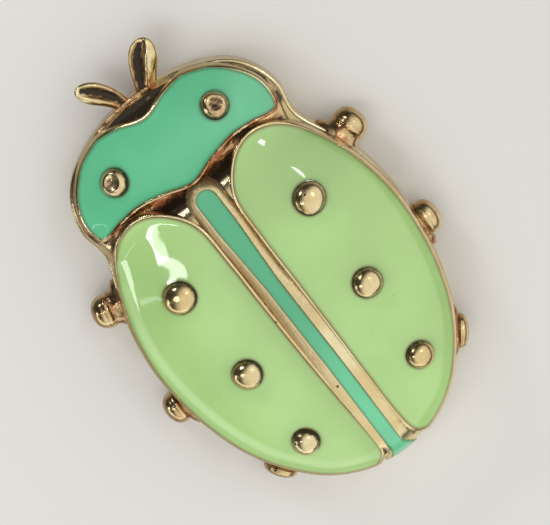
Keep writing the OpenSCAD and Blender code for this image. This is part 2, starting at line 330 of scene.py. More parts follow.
class Graph:
    def __init__(self, owner):
        owner.use_nodes = True
        self.owner = owner
        self.tree = owner.node_tree
        self.tree.nodes.clear()
        coordinates = self.node("ShaderNodeTexCoord", {}, {})
        self.place = coordinates["Object"]
        self.around = coordinates["Generated"]

    @classmethod
    def material(cls, name):
        return cls(bpy.data.materials.new(name))

    def node(self, kind, settings, sockets):
        made = self.tree.nodes.new(kind)
        for key, value in settings.items():
            setattr(made, key, value)
        pairs = sockets.items() if isinstance(sockets, dict) else enumerate(sockets)
        for key, value in pairs:
            if isinstance(value, Socket):
                self.tree.links.new(value.source, made.inputs[key])
            elif made.inputs[key].type == "RGBA":
                made.inputs[key].default_value = (*value, 1)
            else:
                made.inputs[key].default_value = value
        return {output.name: Socket(self, output) for output in made.outputs if output.enabled}

    def noise(self, size, detail=2.0, rough=0.5, stretch=(1, 1, 1)):
        # size in millimetres
        settings = {"operation": "MULTIPLY"}
        place = self.node("ShaderNodeVectorMath", settings, [self.place, stretch])["Vector"]
        sockets = {"Vector": place, "Scale": 1 / (size * millimetre), "Detail": detail, "Roughness": rough}
        return self.node("ShaderNodeTexNoise", {}, sockets)["Fac"]

    def specks(self, spacing, radius):
        # round specks, 1 inside, about one in each cell of this spacing in millimetres
        sockets = {"Vector": self.place, "Scale": 1 / (spacing * millimetre)}
        spot = self.node("ShaderNodeTexVoronoi", {"feature": "F1"}, sockets)
        return 1 - spot["Distance"].between(radius * 0.6, radius)

    def mix(self, factor, first, second):
        # the factor is kept between 0 and 1, and the colours go in sockets 6 and 7
        sockets = {0: factor, 6: first, 7: second}
        return self.node("ShaderNodeMix", {"data_type": "RGBA"}, sockets)["Result"]

    def field(self, label):
        return self.node("ShaderNodeAttribute", {"attribute_name": label}, {})["Fac"]

    def facing(self, way):
        # how far a direction of the surroundings agrees with this one
        return self.node("ShaderNodeVectorMath", {"operation": "DOT_PRODUCT"}, [self.around, way])["Value"]

    def bump(self, height, distance, strength):
        # distance in millimetres
        sockets = {"Height": height, "Distance": distance * millimetre, "Strength": strength}
        return self.node("ShaderNodeBump", {}, sockets)["Normal"]

    def finish(self, sockets):
        shader = self.node("ShaderNodeBsdfPrincipled", {}, sockets)["BSDF"]
        self.node("ShaderNodeOutputMaterial", {}, {"Surface": shader})
        return self.owner


gilt = {
    "bright": (0.76, 0.61, 0.31),
    "pale": (0.88, 0.78, 0.49),
    "warm": (0.46, 0.33, 0.17),
    "copper": (0.42, 0.16, 0.07),
    # soot and painted shadow, for the recesses and the pits
    "sootAndShadow": (0.010, 0.008, 0.006),
    "sand": (0.64, 0.50, 0.28),
    "broadSize": 3.2, "patchSize": 1.1, "fineSize": 0.35, "grainSize": 0.12,
    "pitSpacing": 2.6, "pitRadius": 0.055,
    "polish": 0.12,
    "relief": 0.10, "reliefStrength": 0.55,
}


def giltMetal():
    # worn gilt, darkened in its recesses by soot and painted shade, with copper and sandy places where the
    # piece asks for them
    graph = Graph.material("giltMetal")
    recess = graph.field("recess")
    broad = graph.noise(gilt["broadSize"], 3)
    fine = graph.noise(gilt["fineSize"], 4, 0.6)
    grain = graph.noise(gilt["grainSize"], 3, 0.6)
    tone = graph.mix(broad.between(0.35, 0.68), gilt["bright"], gilt["pale"])
    # a warmer, darker gold, at random as wear and in the recesses as painted shade
    worn = (recess * 0.55 + fine * 0.6).between(0.42, 0.78)
    tone = graph.mix(worn, tone, gilt["warm"])
    # soot and painted shade in the recesses, which darken the gold towards black
    darkened = (recess + (fine - 0.5) * 1.2 + (broad - 0.5) * 0.8).between(0.55, 0.95)
    sandy = graph.field("sand") * (fine * 1.6 + broad * 0.5 - 0.25).clamped()
    tone = graph.mix(sandy, tone, gilt["sand"])
    patches = graph.noise(gilt["patchSize"], 2).between(0.44, 0.62)
    copper = graph.field("copper")
    tone = graph.mix(copper * (0.2 + broad * 0.4 + patches * 0.7), tone, gilt["copper"])
    tone = graph.mix(darkened * 0.93, tone, gilt["sootAndShadow"])
    pits = graph.specks(gilt["pitSpacing"], gilt["pitRadius"])
    tone = graph.mix(pits * 0.85, tone, gilt["sootAndShadow"])
    rough = (gilt["polish"] + fine * 0.10 + darkened * 0.2 + recess * 0.10 + sandy * 0.25).clamped()
    height = broad * 0.35 + fine * 0.3 * (1 + sandy * 2.5) + grain * 0.08 * (1 + sandy * 3) - pits * 0.6
    height = height + patches * copper.clamped() * 0.7
    return graph.finish({
        "Base Color": tone,
        "Metallic": 1 - darkened * 0.45 - sandy * 0.35,
        "Roughness": rough,
        "Normal": graph.bump(height, gilt["relief"], gilt["reliefStrength"]),
    })


glaze = {
    "broadSize": 7.0, "cloudSize": 1.4, "waveSize": 4.5,
    "rippleSize": 0.5, "rippleDepth": 0.0006,
    "speckSpacing": 0.9, "speckRadius": 0.055, "speckPatch": 2.2,
    "deepest": 0.93, "palest": 1.04,
    "polish": 0.04,
    "coat": 0.6, "coatPolish": 0.02,
}
appleGreen = {
    "colour": (0.43, 0.69, 0.255),
    "shadow": (0.17, 0.29, 0.085),
    # the brown along the rims, and the painted shadow round the studs
    "edge": (0.20, 0.125, 0.05),
    "speck": (0.12, 0.10, 0.05),
    "waveDepth": 0.006,
}
seaGreen = {
    "colour": (0.15, 0.62, 0.335),
    "shadow": (0.02, 0.30, 0.14),
    # the brown along the rims, and the painted shadow round the studs
    "edge": (0.09, 0.16, 0.075),
    "speck": (0.02, 0.08, 0.05),
    "waveDepth": 0.008,
}


def enamel(name, look):
    graph = Graph.material(name)
    cloud = graph.noise(glaze["cloudSize"], 3)
    deep = tuple(c * glaze["deepest"] for c in look["colour"])
    pale = tuple(c * glaze["palest"] for c in look["colour"])
    tone = graph.mix(graph.noise(glaze["broadSize"], 2).between(0.3, 0.7), deep, pale)
    tone = graph.mix(cloud.between(0.45, 0.8) * 0.18, tone, look["colour"])
    tone = graph.mix(graph.field("shade") * 0.45, tone, look["shadow"])
    # brown along the rims, and a painted shadow round each stud
    tone = graph.mix(graph.field("edge") * (0.5 + 0.5 * cloud), tone, look["edge"])
    dots = graph.specks(glaze["speckSpacing"], glaze["speckRadius"])
    dots = dots * graph.noise(glaze["speckPatch"], 1).between(0.5, 0.62)
    tone = graph.mix(dots * 0.6, tone, look["speck"])
    wave = graph.noise(glaze["waveSize"], 1) * look["waveDepth"] - dots * 0.02
    wave = wave + graph.noise(glaze["rippleSize"], 2) * glaze["rippleDepth"]
    return graph.finish({
        "Base Color": tone,
        "Roughness": (glaze["polish"] + cloud * 0.02 + dots * 0.2).clamped(),
        "Normal": graph.bump(wave, 1.0, 1.0),
        "Coat Weight": glaze["coat"],
        "Coat Roughness": glaze["coatPolish"],
    })


pinWear = {
    "pale": (0.62, 0.52, 0.33),
    "dull": (0.50, 0.40, 0.23),
    "grime": (0.12, 0.08, 0.05),
    "brushSize": 0.25, "brushStretch": (0.2, 1, 1),
    "broadSize": 2.4,
    "polish": 0.24,
    "relief": 0.03, "reliefStrength": 0.5,
}


def pinSteel():
    # gilt steel, brushed along the pin
    graph = Graph.material("pinMetal")
    fine = graph.noise(pinWear["brushSize"], 4, 0.6, pinWear["brushStretch"])
    broad = graph.noise(pinWear["broadSize"], 3)
    tone = graph.mix(broad.between(0.35, 0.7), pinWear["pale"], pinWear["dull"])
    darkened = (fine + broad * 0.6).between(0.9, 1.25)
    return graph.finish({
        "Base Color": graph.mix(darkened * 0.7, tone, pinWear["grime"]),
        "Metallic": 1.0,
        "Roughness": (pinWear["polish"] + fine * 0.16 + darkened * 0.2).clamped(),
        "Normal": graph.bump(fine, pinWear["relief"], pinWear["reliefStrength"]),
    })


giltFinish = giltMetal()
appleFinish = enamel("appleEnamel", appleGreen)
seaFinish = enamel("seaEnamel", seaGreen)
pinFinish = pinSteel()
print("finishes ready")


def keep(piece, node):
    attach(piece, "root")
    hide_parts(node)


# The casting's body: one shell, hollow from behind

shell = {
    "steps": 480,
    "ringShares": 1 - (1 - np.linspace(0, 1, 72)) ** 1.5,
    "hollowRings": 26, "hollowWallRings": 7,
    "spinePull": 0.12,
    "wallHeights": (0.8, 1.4, 2.0, 2.5),
    "footRound": 0.16,
    "edgeRound": 0.22, "edgeBlend": 0.25,
    # the raised lip in front of the head plate
    "lipStart": 14.9, "lipRun": 1.1, "lipHeight": 0.42, "lipWidth": 0.34,
    "dishDepth": 0.5, "dishAt": (0.0, 16.25), "dishSpread": (3.4, 0.62),
}

# How dark the shell's parts are, darker towards the back rim and inside the hollow, with soot and painted
# shade in the valley, grooves, dish and trough, and how far copper shows
shellTones = {
    "backRim": 0.35,
    "outerCorner": 0.2,
    "wall": 0.12,
    "topEdge": 0.05,
    "hollow": 0.62, "hollowCopper": 0.15,
    "valley": 1.1, "valleySunk": (0.75, 1.25), "valleyGap": (0.5, 1.2),
    "groove": 0.55, "grooveAt": 1.45, "grooveHalf": 0.14,
    "dish": 1.05, "dishAt": -0.1, "dishHalf": 4.1, "dishGap": (0.22, 0.42),
    "trough": 0.95, "troughSide": (3.4, 4.6), "troughReach": 1.6,
    "copperReach": 0.55, "copperHalf": 10.5, "copperClean": 0.75,
    "rootAt": -0.9, "rootHalf": 3.6, "rootFront": (13.8, 15.0), "rootReach": 0.45,
    "rootCopper": 0.75, "rootDark": 0.42,
    "darkest": 1.2,
}


def castingDeck(x, y):
    # the deck, with a dish for the roots of the antennae
    spreadX, spreadY = shell["dishSpread"]
    atX, atY = shell["dishAt"]
    return deck(x, y) - shell["dishDepth"] * hill(x - atX, spreadX, 4) * hill(y - atY, spreadY)


def wallRings(loop, top):
    # the flat back rim with both its corners rounded, the wall, and its rounded top edge
    inner, foot, r = -beetle["wallThickness"], shell["footRound"], shell["edgeRound"]
    rows = []
    for a in quarterTurn(4):
        rows.append((inner + foot * math.sin(a), foot * (1 - math.sin(a)), shellTones["backRim"]))
    for a in quarterTurn(4):
        rows.append((foot * (math.sin(a) - 1), foot * (1 - math.cos(a)), shellTones["outerCorner"]))
    for z in shell["wallHeights"]:
        rows.append((0.0, z, shellTones["wall"]))
    for a in quarterTurn(6):
        rows.append((r * (math.cos(a) - 1), top + r * (math.sin(a) - 1), shellTones["topEdge"]))
    rings = [np.column_stack([grown(loop, out), np.broadcast_to(z, len(loop))]) for out, z, dark in rows]
    darks = [np.full(len(loop), dark) for out, z, dark in rows]
    return np.array(rings), np.array(darks)


def deckRings(edgeLoop, top, lip):
    # the deck comes in from the edge, over the lip's inner slope
    rings = filledOutline(edgeLoop, shell["ringShares"][1:], castingDeck, shell["spinePull"])
    gap = np.hypot(rings[:, :, 0] - edgeLoop[:, 0], rings[:, :, 1] - edgeLoop[:, 1])
    z = np.maximum(rings[:, :, 2] + lip * hill(gap, shell["lipWidth"]), 0)
    blend = hill(gap, shell["edgeBlend"])
    rings[:, :, 2] = z * (1 - blend) + top * blend
    return rings, gap


def deckSootAndShade(x, y, gap):
    # soot and painted shade lie in the valley, the grooves, the dish and the trough beside the head
    sunk = dome(x, y) - castingDeck(x, y)
    side = np.abs(x)
    valley = smoothStep(sunk, *shellTones["valleySunk"]) * (y < along(0.9))
    valley = valley * smoothStep(gap, *shellTones["valleyGap"])
    groove = hill(side - shellTones["grooveAt"], shellTones["grooveHalf"]) * (y < along(0.74))
    dish = hill(x - shellTones["dishAt"], shellTones["dishHalf"], 6) * (y > along(0.88))
    dish = dish * smoothStep(gap, *shellTones["dishGap"])
    trough = smoothStep(y, along(0.765), along(0.80)) * smoothStep(side, *shellTones["troughSide"])
    trough = trough * smoothStep(gap, 0.0, 0.1) * (gap < shellTones["troughReach"])
    found = {"valley": valley, "groove": groove, "dish": dish, "trough": trough}
    return np.maximum.reduce([amount * shellTones[label] for label, amount in found.items()])


def deckCopper(x, y):
    # copper shows along the rear edge of the head plate
    outline = headOutline(rims["steps"])
    rear = outline[(outline[:, 0] >= 0) & (outline[:, 1] < along(0.9))]
    rear = rear[np.argsort(rear[:, 0])]
    rearY = np.minimum.accumulate(rear[:, 1][::-1])[::-1]
    behind = np.interp(np.abs(x), rear[:, 0], rearY) - y
    return hill(behind, shellTones["copperReach"]) * (np.abs(x) < shellTones["copperHalf"])


def bodyShell():
    loop = wallPoints(turnsRound(shell["steps"]))
    lip = np.clip((loop[:, 1] - shell["lipStart"]) / shell["lipRun"], 0, 1) ** 2 * shell["lipHeight"]
    wall, wallDark = wallRings(loop, wallTop + lip)
    top, gap = deckRings(grown(loop, -shell["edgeRound"]), wallTop + lip, lip)
    x, y = top[:, :, 0], top[:, :, 1]
    topCopper = deckCopper(x, y)
    every = np.concatenate([wall, top])
    dark = np.concatenate([wallDark, deckSootAndShade(x, y, gap) - topCopper * shellTones["copperClean"]])
    copper = np.concatenate([np.zeros(wallDark.shape), topCopper])
    # the outer edge is browner round the roots of the antennae
    root = np.concatenate([np.ones(wallDark.shape), hill(gap, shellTones["rootReach"])])
    root *= hill(every[:, :, 0] - shellTones["rootAt"], shellTones["rootHalf"], 4)
    root *= smoothStep(every[:, :, 1], *shellTones["rootFront"])
    copper += root * shellTones["rootCopper"]
    dark += root * shellTones["rootDark"]
    sheets = Sheets()
    sheets.rings(every, np.clip(dark, 0, shellTones["darkest"]))

    # the hollow: wall up from the back rim, then the ceiling
    inside = grown(loop, -beetle["wallThickness"])
    shares = np.linspace(0, 1, shell["hollowRings"])
    ceiling = filledOutline(inside, shares, deck, shell["spinePull"])
    ceiling[:, :, 2] -= beetle["roofThickness"]
    low = shell["footRound"]
    walls = []
    for share in np.linspace(0, 1, shell["hollowWallRings"]):
        walls.append(np.column_stack([inside, low + (ceiling[0, :, 2] - low) * share]))
    hollow = np.concatenate([np.array(walls), ceiling[1:]])[::-1]
    sheets.rings(hollow, shellTones["hollow"])
    hollowCopper = np.full(hollow.shape[:2], shellTones["hollowCopper"])
    return sheets, np.concatenate([copper.reshape(-1), hollowCopper.reshape(-1)])


rims = {
    "steps": 420,
    "roundTop": 0.08, "roundWidth": 0.95,
    # distance out, height over the enamel's surface and how dark, before the rim's round top
    "outside": [(0.02, -0.42, 0.5), (0.0, -0.22, 0.25), (-0.02, -0.1, 0.1)],
    "foot": (0.05, -0.3, 0.8),
    # height and how dark, down the rim's inner side
    "inside": [(-0.12, 0.2), (-0.6, 0.7)],
    "wingCopper": 0.15,
    "headCopper": 0.9,
    "copperFrom": 0.83, "copperRun": 0.8,
}


def caseRim(sheets, loop, surface, rearCopper):
    # an upright rim with a rounded top, from the deck up to the enamel, darker towards its foot as soot
    # and painted shade
    width = beetle["rimWidth"]
    out, lift, dark = rims["foot"]
    rows = [(out, castingDeck, lift, dark)]
    rows += [(out, surface, lift, dark) for out, lift, dark in rims["outside"]]
    for turn in np.radians(np.linspace(20, 160, 7)):
        out = width / 2 * (math.cos(turn) * rims["roundWidth"] - 1)
        rows.append((out, surface, rims["roundTop"] * (math.sin(turn) - 1), 0.0))
    rows += [(-width, surface, lift, dark) for lift, dark in rims["inside"]]
    rings = np.array([laid(grown(loop, out), top, lift) for out, top, lift, dark in rows])
    sheets.rings(rings, np.array([row[-1] for row in rows])[:, None])
    rear = np.clip((along(rims["copperFrom"]) - rings[:, :, 1]) / rims["copperRun"], 0, 1)
    return (rear * rearCopper).reshape(-1)


strip = {
    "tail": 0.002,
    "front": 0.764, "frontWidth": 2.5,
    "width": 1.92,
    "widen": (0.5, 0.66),
    "lift": 0.15,
    "rim": 0.33,
    "drift": (-0.36, 0.3), "driftPower": 1.5,
    "rows": 170,
    "endRows": 24,
    # distance in from the strip's edge, height with no groove, with a groove, and over the valley
    "section": [
        (-0.62, -0.24, -0.70, -0.12), (-0.50, -0.17, -0.66, 0.0), (-0.42, -0.14, -0.56, 0.03),
        (-0.32, -0.12, -0.42, 0.12), (-0.18, -0.09, -0.24, None), (0.0, -0.05, -0.10, None),
        (0.14, -0.03, -0.03, None), (0.24, 0.0, 0.0, None), (0.30, -0.02, -0.02, None),
        (0.33, -0.07, -0.07, None), (0.33, -0.5, -0.5, None),
    ],
    "grooveRight": (0.38, 0.62), "grooveLeft": (0.22, 0.6),
    "overValley": (0.655, 0.70),
    "tailEnd": (0.008, 0.045), "tailDrop": 0.26, "tailMargin": 0.16, "tailReach": 4.0,
    "pitAt": 0.036, "pitHalf": 0.009, "pitDepth": 0.3,
    "wornAt": 0.075, "wornHalf": 0.02,
    "innerDark": 0.7,
    "sandLeft": (0.12, 0.45), "sandRight": (0.32, 0.42),
}


def stripHalf(y):
    low, high = strip["widen"]
    widening = np.clip((shareAt(y) - low) / (high - low), 0, 1)
    return (strip["width"] + (strip["frontWidth"] - strip["width"]) * widening) / 2


def stripEnd(inset):
    # radius of the strip's round front end, and where its centre lies
    radius = strip["frontWidth"] / 2 - inset
    return radius, along(strip["front"]) - inset - radius


def stripEdge(inset):
    # the right side of the strip from the tail, then round its end to the middle
    startY = along(strip["tail"])
    radius, endY = stripEnd(inset)
    y = startY + (endY - startY) * np.linspace(0, 1, strip["rows"])
    straight = np.stack([stripHalf(y) - inset, y], 1)
    turn = quarterTurn(strip["endRows"] + 1)[1:]
    end = np.stack([radius * np.cos(turn), endY + radius * np.sin(turn)], 1)
    return np.concatenate([straight, end])


def stripTop(x, y):
    return dome(x, y) + strip["lift"]


tailRows = np.linspace(tailY, tailY + strip["tailReach"], 240)
tailHalves = wallHalf(tailRows)


def insideTail(x, y, margin):
    # rows that would pass the tail's round outline are held back to it
    return np.maximum(y, np.interp(np.abs(x) + margin, tailHalves, tailRows))


def stripDrift(y):
    # the strip leans a little to the left as it nears the tail
    reach, span = strip["drift"]
    return reach * np.clip((span - shareAt(y)) / span, 0, 1) ** strip["driftPower"]


def stripRim(sheets):
    rings = []
    darks = []
    sand = []
    for inset, plain, grooved, floor in strip["section"]:
        right = stripEdge(inset)
        path = np.concatenate([right, right[-2::-1] * (-1, 1)])
        share = shareAt(path[:, 1])
        left = smoothStep(-path[:, 0], -0.5, 0.5)
        x = path[:, 0] + stripDrift(path[:, 1])
        y = insideTail(x, path[:, 1], strip["tailMargin"])
        # the groove fades out towards the tail, sooner on the right
        leftGroove = 0.05 + 0.8 * smoothStep(share, *strip["grooveLeft"])
        groove = smoothStep(share, *strip["grooveRight"]) * (1 - left) + leftGroove * left
        z = stripTop(x, y) + plain * (1 - groove) + grooved * groove
        z = z - strip["tailDrop"] * (1 - smoothStep(share, *strip["tailEnd"]))
        # down the flanks and in the grooves the gold is darker, as soot and painted shade
        depth = (groove * 0.5 + 0.35) * np.clip((-0.2 - inset) / 0.25, 0, 1)
        # a pit on the left near the tail, darker as soot and painted shade, and a worn place on the right
        pit = hill(share - strip["pitAt"], strip["pitHalf"], 4) * left * float(-0.55 < inset < -0.1)
        worn = hill(share - strip["wornAt"], strip["wornHalf"]) * (1 - left) * float(inset < 0.1)
        depth = depth + pit * 1.6 + worn * 0.25
        z = z - pit * strip["pitDepth"]
        if floor is not None:
            over = smoothStep(share, *strip["overValley"])
            z = z * (1 - over) + (castingDeck(x, y) + floor) * over
            depth = np.maximum(depth, over * 0.45)
        rings.append(np.column_stack([x, y, z]))
        darks.append(depth)
        sandy = left * (0.1 + 0.9 * smoothStep(share, *strip["sandLeft"]))
        sandy = sandy + (1 - left) * 0.75 * smoothStep(share, *strip["sandRight"])
        sand.append(np.clip((0.32 - inset) / 0.1, 0, 1) * sandy)
    darks[-1] = darks[-1] + strip["innerDark"]
    sheets.rings(rings, darks, closed=False)
    return np.array(sand).reshape(-1)


studs = {
    # across, along, diameter
    "wing": [(0.526, 0.598, 2.85), (0.488, 0.374, 2.6), (0.466, 0.171, 2.4)],
    "eye": [(0.407, 0.88, 2.4)],
    "topHeight": 0.85, "sideHeight": 0.2, "rootDepth": 0.8,
    "turns": [*range(8, 73, 8), 78, 83, 88],
    "roundness": 0.86, "peak": 1.15,
    "around": 56, "wobble": 0.028,
    # how dark each ring is, up to the three of the shoulder and the four of the top; the darkest rings at
    # the foot are a painted shadow round the stud
    "dark": [1.0, 1.0, 1.0, 1.0, 0.95, 0.7, 0.45, 0.3],
    "copper": 0.12,
    "eyeDimple": 0.34, "dimpleShare": 0.62,
    "eyeTarnish": {1: 0.45, -1: 0.25},
}


def onDome(across, share, drop, side):
    x, y = side * across * halfWidth, along(share)
    turn = Vector((0, 0, 1)).rotation_difference(domeNormal(x, y)).to_matrix().to_4x4()
    return Matrix.Translation((x, y, float(dome(x, y)) - drop)) @ turn


def lathed(sheets, profile, place, darks, look, seed, widen=None):
    # rings round an axis, a little out of true, and each one wider one way where widen says
    around, wobble = look["around"], look["wobble"]
    angles = fullTurn(around)
    rings = []
    for (r, z), wide in zip(profile, widen or [1.0] * len(profile)):
        swell = r * (1 + wobble * np.sin(2 * angles + seed) + wobble * 0.6 * np.sin(3 * angles + 2 * seed))
        flat = np.column_stack([swell * np.cos(angles), wide * swell * np.sin(angles), np.full(around, z)])
        rings.append([tuple(place @ Vector(point)) for point in flat])
    sheets.rings(rings, np.array(darks)[:, None], capLast=True)


def stud(sheets, place, diameter, seed, tarnish=0.0, dimple=0.0):
    r = diameter / 2
    top, side = studs["topHeight"], studs["sideHeight"]
    profile = [(r, -studs["rootDepth"]), (r, -0.05), (r * 0.995, side * 0.5)]
    for turn in np.radians(studs["turns"]):
        out = math.cos(turn) ** studs["roundness"]
        sunk = dimple * max(0.0, 1 - (out / studs["dimpleShare"]) ** 2)
        rise = (top + side * 0.25) * math.sin(turn) ** studs["peak"]
        profile.append((r * out, side * 0.75 + rise - sunk))
    darks = studs["dark"] + [0.16 + tarnish * 0.6] * 3 + [0.2 + tarnish * 1.3] * 4
    lathed(sheets, profile, place, darks, studs, seed)
    return np.full(len(profile) * studs["around"], studs["copper"] + tarnish * 0.4)


feet = {
    # along, turn towards the head, reach, thickness of the button
    "places": [(0.643, 13, 2.65, 1.75), (0.382, 0, 1.75, 1.55), (0.134, -36, 1.15, 0.95)],
    "diameter": 3.1, "neck": 2.5, "lower": 0.04,
    # the neck: share of its radius, share of the way out to the button, and height beyond that
    "neckRows": [
        (1.29, 0, -0.7), (1.28, 0, -0.02), (1.21, 0, 0.22),
        (1.14, 0.6, 0), (1.09, 1, -0.04), (1.14, 1, 0.05),
    ],
    # the button's side: share of its radius and of its thickness
    "sideRows": [(0.97, 0.10), (1.0, 0.18), (0.995, 0.26), (0.955, 0.31)],
    "capRows": 12, "capRound": 0.9, "capFrom": 0.32,
    "around": 56, "wobble": 0.03,
    # how dark, how coppery and how much wider each ring is
    "dark": [0.7, 0.5, 0.4, 0.45, 0.6, 0.5, 0.25, 0.1, 0.15, 0.45, 0.2] + [0.12] * 11,
    "copper": [0.8, 0.8, 0.7, 0.7, 0.7, 0.6, 0.5, 0.4, 0.4, 0.5] + [0.4] * 12,
    "widen": [1.5, 1.42, 1.2, 1.08, 1.04] + [1.0] * 17,
}


def foot(sheets, place, reach, thick, seed):
    neck, r = feet["neck"] / 2, feet["diameter"] / 2
    back = reach - thick
    profile = [(neck * wide, back * way + beyond) for wide, way, beyond in feet["neckRows"]]
    profile += [(r * wide, back + thick * way) for wide, way in feet["sideRows"]]
    for turn in np.radians(np.linspace(6, 88, feet["capRows"])):
        rise = feet["capFrom"] + (1 - feet["capFrom"]) * math.sin(turn)
        profile.append((r * 0.97 * math.cos(turn) ** feet["capRound"], back + thick * rise))
    lathed(sheets, profile, place, feet["dark"], feet, seed, feet["widen"])
    return np.repeat(feet["copper"], feet["around"])


antennae = {
    # by side: root, bend and tip, the widths at neck and tip, and how far off the middle the groove lies
    1: [(1.25, 16.4, 2.5), (1.85, 18.2, 3.1), (3.95, 20.51, 3.98), 1.95, 2.5, -0.42],
    -1: [(-0.9, 16.5, 2.5), (-0.95, 18.4, 3.1), (-3.45, 20.43, 3.98), 1.4, 1.95, 0.12],
    "thickness": 0.62,
    "around": 44, "stations": 32,
    "widenBetween": (0.15, 0.75),
    "roundFrom": 0.68, "roundPower": 2.4,
    "grooveHalf": 0.5,
    # the middle of the dished face is darkened as a painted dark reflection
    "paintedReflectionHalf": 0.44, "paintedReflection": 1.15,
    "rootDark": 0.8, "rootCopper": 1.1,
}


def antenna(sheets, side):
    # a flattened paddle with a dished face, lofted from the head to its round tip
    root, bend, tip, neckWidth, tipWidth, offMiddle = antennae[side]
    root, bend, tip = np.array(root), np.array(bend), np.array(tip)
    angles = -fullTurn(antennae["around"])
    x, z = np.cos(angles), np.sin(angles)
    groove = hill(x - offMiddle, antennae["grooveHalf"], 4) * (z > 0) * z
    paintedReflectionAcross = hill(x - offMiddle - 0.05, antennae["paintedReflectionHalf"]) * (z > 0)
    rings = []
    darks = []
    for step in np.linspace(0, 1, antennae["stations"]):
        t = 1 - (1 - step) ** 1.5
        centre = (1 - t) ** 2 * root + 2 * t * (1 - t) * bend + t * t * tip
        run = 2 * (1 - t) * (bend - root) + 2 * t * (tip - bend)
        run /= np.linalg.norm(run)
        flat = np.array([run[1], -run[0], 0])
        flat /= np.linalg.norm(flat)
        up = np.cross(flat, run)
        pastRound = max(0.0, (t - antennae["roundFrom"]) / (1 - antennae["roundFrom"]))
        rounding = math.sqrt(max(0.0004, 1 - pastRound ** antennae["roundPower"]))
        widening = float(smoothStep(np.array(t), *antennae["widenBetween"]))
        width = (neckWidth + (tipWidth - neckWidth) * widening) / 2 * rounding
        high = width * antennae["thickness"] * (0.9 + 0.5 * (1 - t))
        lift = high * z - high * min(1, t * 1.8) * rounding * groove
        rings.append(centre + width * x[:, None] * flat + lift[:, None] * up)
        # a painted dark reflection down the dished middle, fading in from the root and stopping short of
        # the round tip
        paintedReflection = paintedReflectionAcross * min(1, t * 2.5) * (rounding > 0.62)
        darks.append(antennae["rootDark"] * (1 - t) ** 2 + antennae["paintedReflection"] * paintedReflection)
    sheets.rings(rings, darks, capLast=True)
    copper = antennae["rootCopper"] * np.linspace(1, 0.1, len(rings)) ** 2
    return np.repeat(copper, antennae["around"])


pinPosts = {
    "barLength": 17.0, "barTop": 4.74, "at": 0.56,
    "width": 2.2, "thickness": 0.8, "corner": 0.35,
    "dark": 0.5,
}


def pinPost(sheets, side):
    # a square post with rounded corners, from the hollow's roof down to the pin's bar
    half, corner, low = pinPosts["width"] / 2, pinPosts["corner"], pinPosts["barTop"]
    x = side * (pinPosts["barLength"] / 2 - half - pinPosts["thickness"])
    y = along(pinPosts["at"])
    top = float(deck(x, y)) - beetle["roofThickness"] * 0.7
    signs = np.repeat([(1, 1), (-1, 1), (-1, -1), (1, -1)], 4, 0)
    a = np.concatenate([quarterTurn(4) + quarter * math.pi / 2 for quarter in range(4)])
    rings = []
    for z, grow in ((low, -0.12), (low + 0.12, 0.0), (top - 0.35, 0.06), (top, 0.25)):
        flat = (x, y) + signs * (half + grow - corner) + corner * np.stack([np.cos(a), np.sin(a)], 1)
        rings.append(np.column_stack([flat, np.full(len(a), z)]))
    sheets.rings(rings, pinPosts["dark"], capFirst=True)
    return np.zeros(len(rings) * len(a))


def castingPiece():
    sheets, shellCopper = bodyShell()
    copper = [shellCopper]
    wing = wingOutline(rims["steps"])
    for loop in (wing, (wing * (-1, 1))[::-1]):
        copper.append(caseRim(sheets, loop, dome, rims["wingCopper"]))
    copper.append(caseRim(sheets, headOutline(rims["steps"]), headTop, rims["headCopper"]))
    stripStart = len(sheets.recess)
    stripSand = stripRim(sheets)
    copper.append(np.zeros(len(stripSand)))
    seed = 0.4
    for side in (1, -1):
        for across, share, diameter in studs["wing"]:
            copper.append(stud(sheets, onDome(across, share, 0, side), diameter, seed))
            seed += 1.3
        for across, share, diameter in studs["eye"]:
            place = onDome(across, share, beetle["headDrop"], side)
            tarnish = studs["eyeTarnish"][side]
            copper.append(stud(sheets, place, diameter, seed, tarnish, studs["eyeDimple"]))
            seed += 1.1
        for share, turn, reach, thick in feet["places"]:
            y = along(share)
            z = wallTop - feet["neck"] / 2 - feet["lower"]
            heading = math.radians(turn if side > 0 else 180 - turn)
            place = Matrix.Translation((side * float(wallHalf(y)), y, z))
            place = place @ Matrix.Rotation(heading, 4, "Z") @ Matrix.Rotation(math.radians(90), 4, "Y")
            copper.append(foot(sheets, place, reach, thick, seed))
            seed += 0.9
        copper.append(antenna(sheets, side))
        copper.append(pinPost(sheets, side))
    sand = np.zeros(len(sheets.recess))
    sand[stripStart:stripStart + len(stripSand)] = stripSand
    fields = {"recess": sheets.recess, "copper": np.concatenate(copper), "sand": sand}
    return makePiece("giltCasting", sheets.points, sheets.faces, giltFinish, fields)


keep(castingPiece(), "casting")
print("casting ready")


# Enamels


plate = {
    "outlineSteps": 400,
    "edgeInset": 0.285,
    # it sinks a little from the rim, then clings to the metal at its very edge
    "sag": 0.05, "sagWidth": 0.35,
    "climb": 0.05, "climbWidth": 0.12,
    "lower": 0.03,
    "edgeTint": 0.16,
    # round each stud: a low collar, and a painted shadow in the enamel
    "collarHeight": 0.02, "collarWidth": 0.3, "studShadowWidth": 0.11, "studShadow": 1.1,
    "netSpace": 0.32,
    "edgeRows": (0.04, 0.09, 0.16, 0.26, 0.4, 0.6),
    "studRows": (-0.15, 0.0, 0.08, 0.18, 0.32), "studSteps": 44, "studClear": (-0.23, 0.47),
    "depth": 0.5,
}


def insideLoop(points, loop):
    inside = np.zeros(len(points), bool)
    for (x0, y0), (x1, y1) in zip(loop, np.roll(loop, -1, 0)):
        if y0 == y1:
            continue
        spans = (points[:, 1] > min(y0, y1)) & (points[:, 1] <= max(y0, y1))
        crossing = x0 + (points[:, 1] - y0) * (x1 - x0) / (y1 - y0)
        inside ^= spans & (points[:, 0] < crossing)
    return inside


